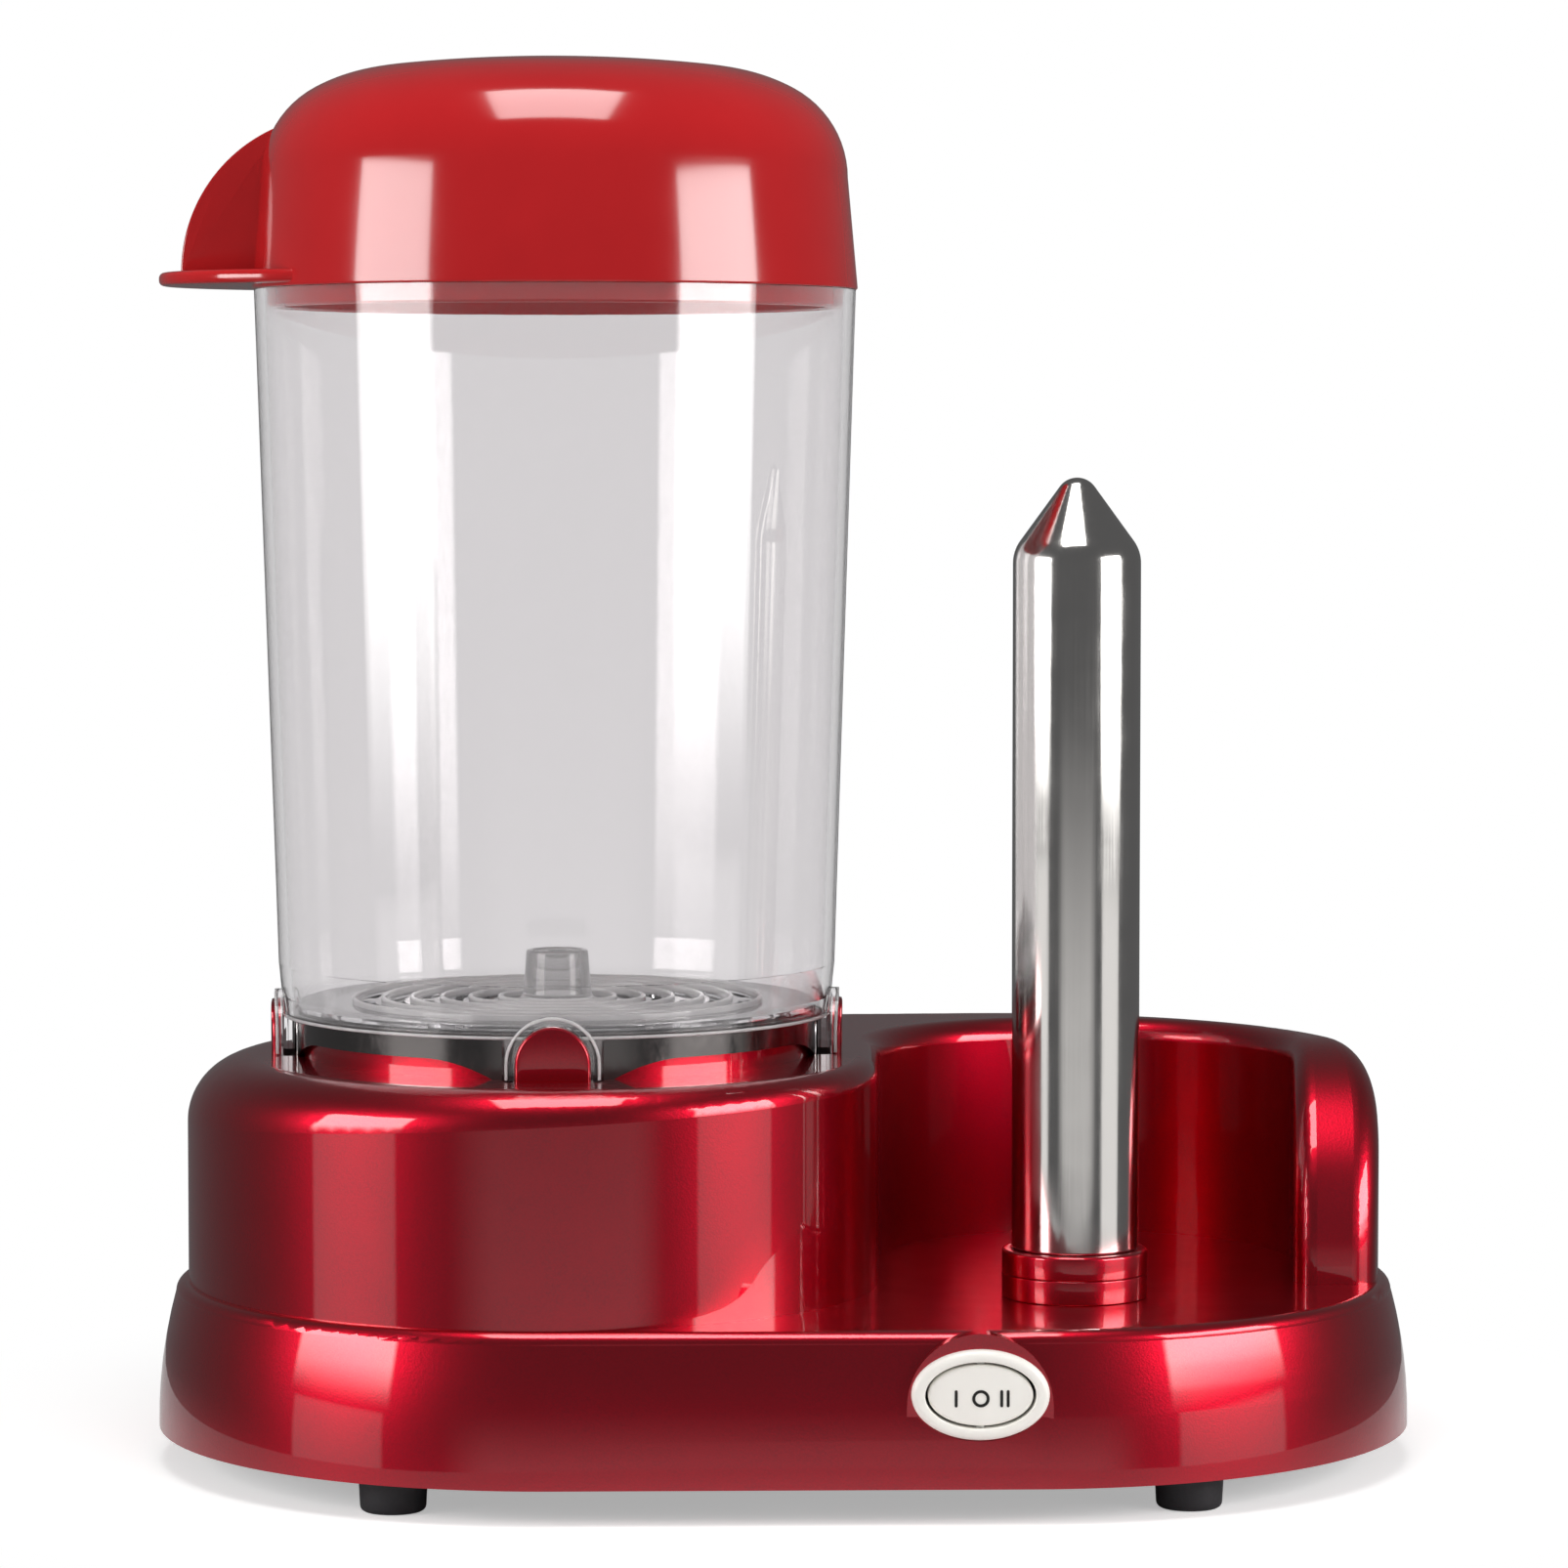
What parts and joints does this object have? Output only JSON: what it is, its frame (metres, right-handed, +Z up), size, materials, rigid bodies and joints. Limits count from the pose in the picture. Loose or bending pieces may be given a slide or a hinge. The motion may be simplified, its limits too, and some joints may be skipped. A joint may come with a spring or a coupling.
{
  "type": "hot dog toaster",
  "caption": "Hot dog steamer with a clear lidded container on a round drum and a heated bun spike in a horseshoe nest, on one rounded plinth.",
  "frame": {"origin": "on the ground under the middle of the plinth, which is the middle of the whole object's box", "axes": "+X right along the plinth, from the container to the spike; +Y back, away from the switch; +Z up"},
  "size_m": [0.2702, 0.1748, 0.3004],
  "materials": {
    "candy_red": "metallic red lacquer under a clear coat",
    "lid_red": "glossy moulded red",
    "clear_plastic": "clear moulded plastic",
    "stainless": "polished with fine drawing lines",
    "cream_plastic": "smooth cream moulding",
    "mark_black": "printed",
    "foot_rubber": "matt",
    "black_plastic": "fine texture",
    "silicone": "soft translucent",
    "cast_aluminium": "as cast",
    "zinc_steel": "zinc plated",
    "ceramic": "unglazed"
  },
  "bodies": {
    "base": {"plinth": "candy_red", "upper_housing": "candy_red", "seat_ring": "candy_red", "spike_collar": "candy_red", "spike_ring": "candy_red", "pan_gasket": "silicone", "spike_gasket": "silicone", "water_pan": "stainless", "pan_skirt": "stainless", "spike_tube": "stainless", "pan_heater": "cast_aluminium", "spike_plug": "cast_aluminium", "spike_heater": "zinc_steel", "heater_bracket": "zinc_steel", "pan_nut": "zinc_steel", "bracket_screws": "zinc_steel", "thermostat": "black_plastic", "thermal_fuse": "zinc_steel", "spike_washer": "zinc_steel", "spike_nut": "zinc_steel", "switch_bezel": "cream_plastic", "rocker_pin": "zinc_steel", "switch_housing": "black_plastic", "switch_blades": "zinc_steel", "base_plate": "black_plastic", "front_left_foot": "foot_rubber", "front_right_foot": "foot_rubber", "back_left_foot": "foot_rubber", "back_right_foot": "foot_rubber", "foot_screws": "zinc_steel", "base_screws": "zinc_steel", "housing_screws": "zinc_steel", "cable_gland": "black_plastic", "cord_clamp": "black_plastic", "clamp_screws": "zinc_steel", "terminal_block": "ceramic"},
    "container": {"container_shell": "clear_plastic"},
    "steam_tray_body": {"steam_tray": "clear_plastic"},
    "lid_body": {"lid": "lid_red"},
    "rocker": {"switch_rocker": "cream_plastic", "switch_marks": "mark_black"}
  },
  "joints": [
    {"name": "container_lift", "type": "slide", "parent": "base", "child": "container", "axis": [0, 0, 1], "range_m": [0, 0.08]},
    {"name": "tray_lift", "type": "slide", "parent": "container", "child": "steam_tray_body", "axis": [0, 0, 1], "range_m": [0, 0.14]},
    {"name": "lid_lift", "type": "slide", "parent": "container", "child": "lid_body", "axis": [0, 0, 1], "range_m": [0, 0.08]},
    {"name": "switch_rock", "type": "hinge", "parent": "base", "child": "rocker", "pos_m": [0.0376, -0.0844, 0.0268], "axis": [0, 0, 1], "range_deg": [-8, 8]}
  ]
}
